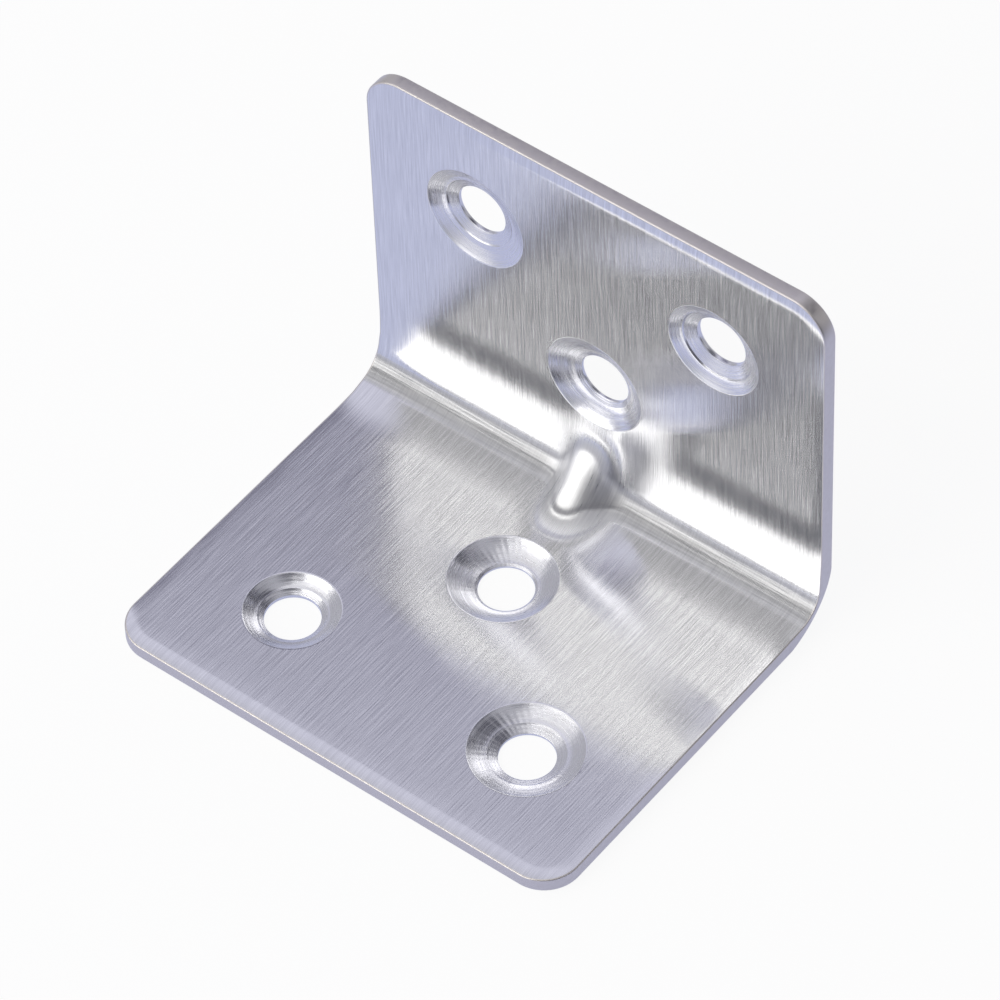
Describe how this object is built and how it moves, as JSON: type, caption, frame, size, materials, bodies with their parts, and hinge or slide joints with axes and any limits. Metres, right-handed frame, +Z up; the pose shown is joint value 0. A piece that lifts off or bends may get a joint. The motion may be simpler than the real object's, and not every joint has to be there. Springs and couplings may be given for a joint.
{
  "type": "angle bracket",
  "caption": "Folded stainless sheet angle bracket with countersunk screw holes in both legs and a stiffening rib pressed across the bend.",
  "frame": {"origin": "heel: mid-width point of the line in which the two mounting faces would meet behind the bend", "axes": "+X along the bend; +Y out of the wall leg's mounting face, so the base leg reaches towards -Y; +Z up the wall leg, out of the base leg's inner face"},
  "size_m": [0.05, 0.041, 0.04],
  "materials": {
    "brushed_stainless": "brushed square to the bend on both legs, with bright turned countersinks"
  },
  "bodies": {
    "root": {"bracket": "brushed_stainless"}
  },
  "joints": []
}
